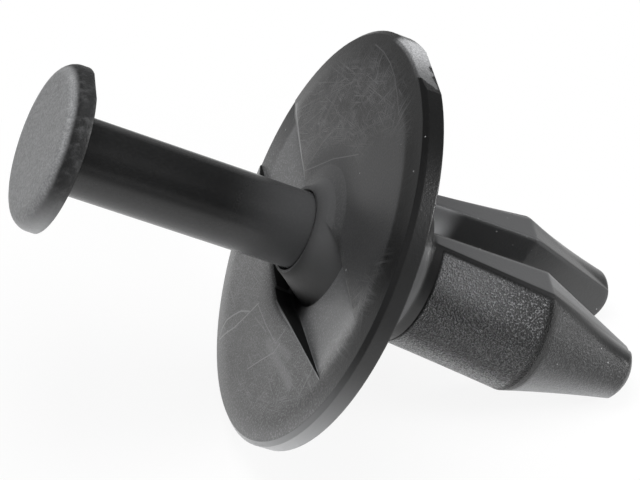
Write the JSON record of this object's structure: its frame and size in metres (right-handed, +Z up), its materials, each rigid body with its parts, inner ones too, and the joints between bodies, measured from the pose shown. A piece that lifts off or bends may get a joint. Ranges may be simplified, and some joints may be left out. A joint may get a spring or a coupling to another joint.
{
  "type": "push-in retainer",
  "caption": "Push-in plastic retainer with a round flange, two flared prong legs and a headed pin that slides in through the flange to lock the legs apart.",
  "frame": {"origin": "centre of the ground rectangle that the part covers as it lies at rest, with the pin drawn out", "axes": "+X towards the leg tips, +Y away from the viewer, +Z up; the pin's axis slopes down towards the leg tips, because the part lies on its flange rim and both leg tips"},
  "size_m": [0.0358, 0.0254, 0.0242],
  "materials": {
    "retainer_plastic": "moulded black plastic, satin flange face, coarse grain on the outer faces of the legs",
    "pin_plastic": "moulded black plastic, fine matte grain on the head, smooth shank"
  },
  "bodies": {
    "retainer": {"retainer_body": "retainer_plastic"},
    "pin": {"push_pin": "pin_plastic"}
  },
  "joints": [
    {"name": "pin_slide", "type": "slide", "parent": "retainer", "child": "pin", "axis": [0.8668, 0, -0.4986], "range_m": [0, 0.0149]}
  ]
}
